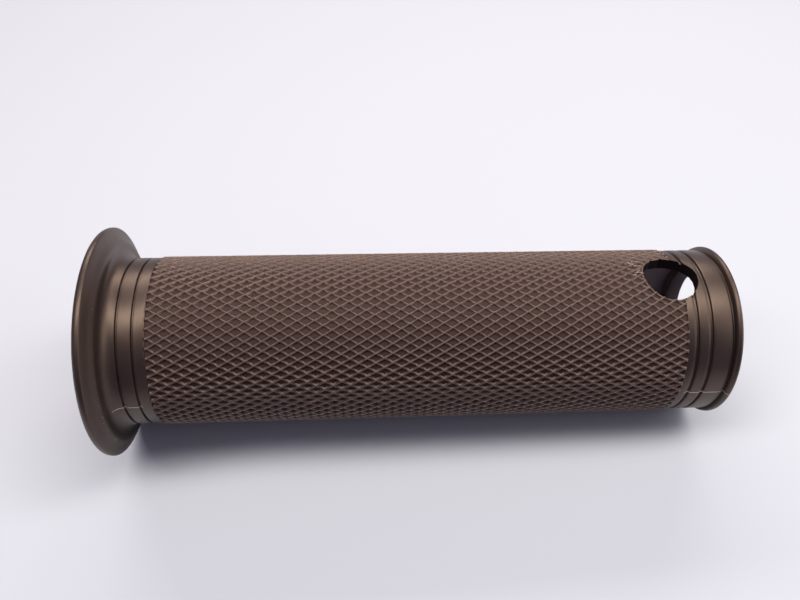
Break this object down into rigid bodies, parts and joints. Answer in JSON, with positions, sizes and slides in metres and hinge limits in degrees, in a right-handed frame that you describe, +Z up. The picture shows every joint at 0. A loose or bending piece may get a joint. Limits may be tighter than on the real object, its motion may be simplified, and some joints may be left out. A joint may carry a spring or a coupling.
{
  "type": "motorcycle throttle grip",
  "caption": "Knurled rubber throttle grip with an inboard flange and a side hole, on a throttle tube that turns on handlebar bushes.",
  "frame": {"origin": "centre of the handlebar bore at the inboard flange face", "axes": "+X outboard along the handlebar, +Z up through the side hole, +Y forward, away from the rider"},
  "size_m": [0.12, 0.0446, 0.0447],
  "materials": {
    "rubber": "satin moulded rubber",
    "tube_plastic": "moulded black nylon",
    "bush_plastic": "turned natural acetal"
  },
  "bodies": {
    "bearings": {"inboard_bush": "bush_plastic", "outboard_bush": "bush_plastic"},
    "throttle": {"grip_rubber": "rubber", "throttle_tube": "tube_plastic"}
  },
  "joints": [
    {"name": "throttle_twist", "type": "hinge", "parent": "bearings", "child": "throttle", "pos_m": [0.0505, 0, 0], "axis": [1, 0, 0], "range_deg": [0, 75]}
  ]
}
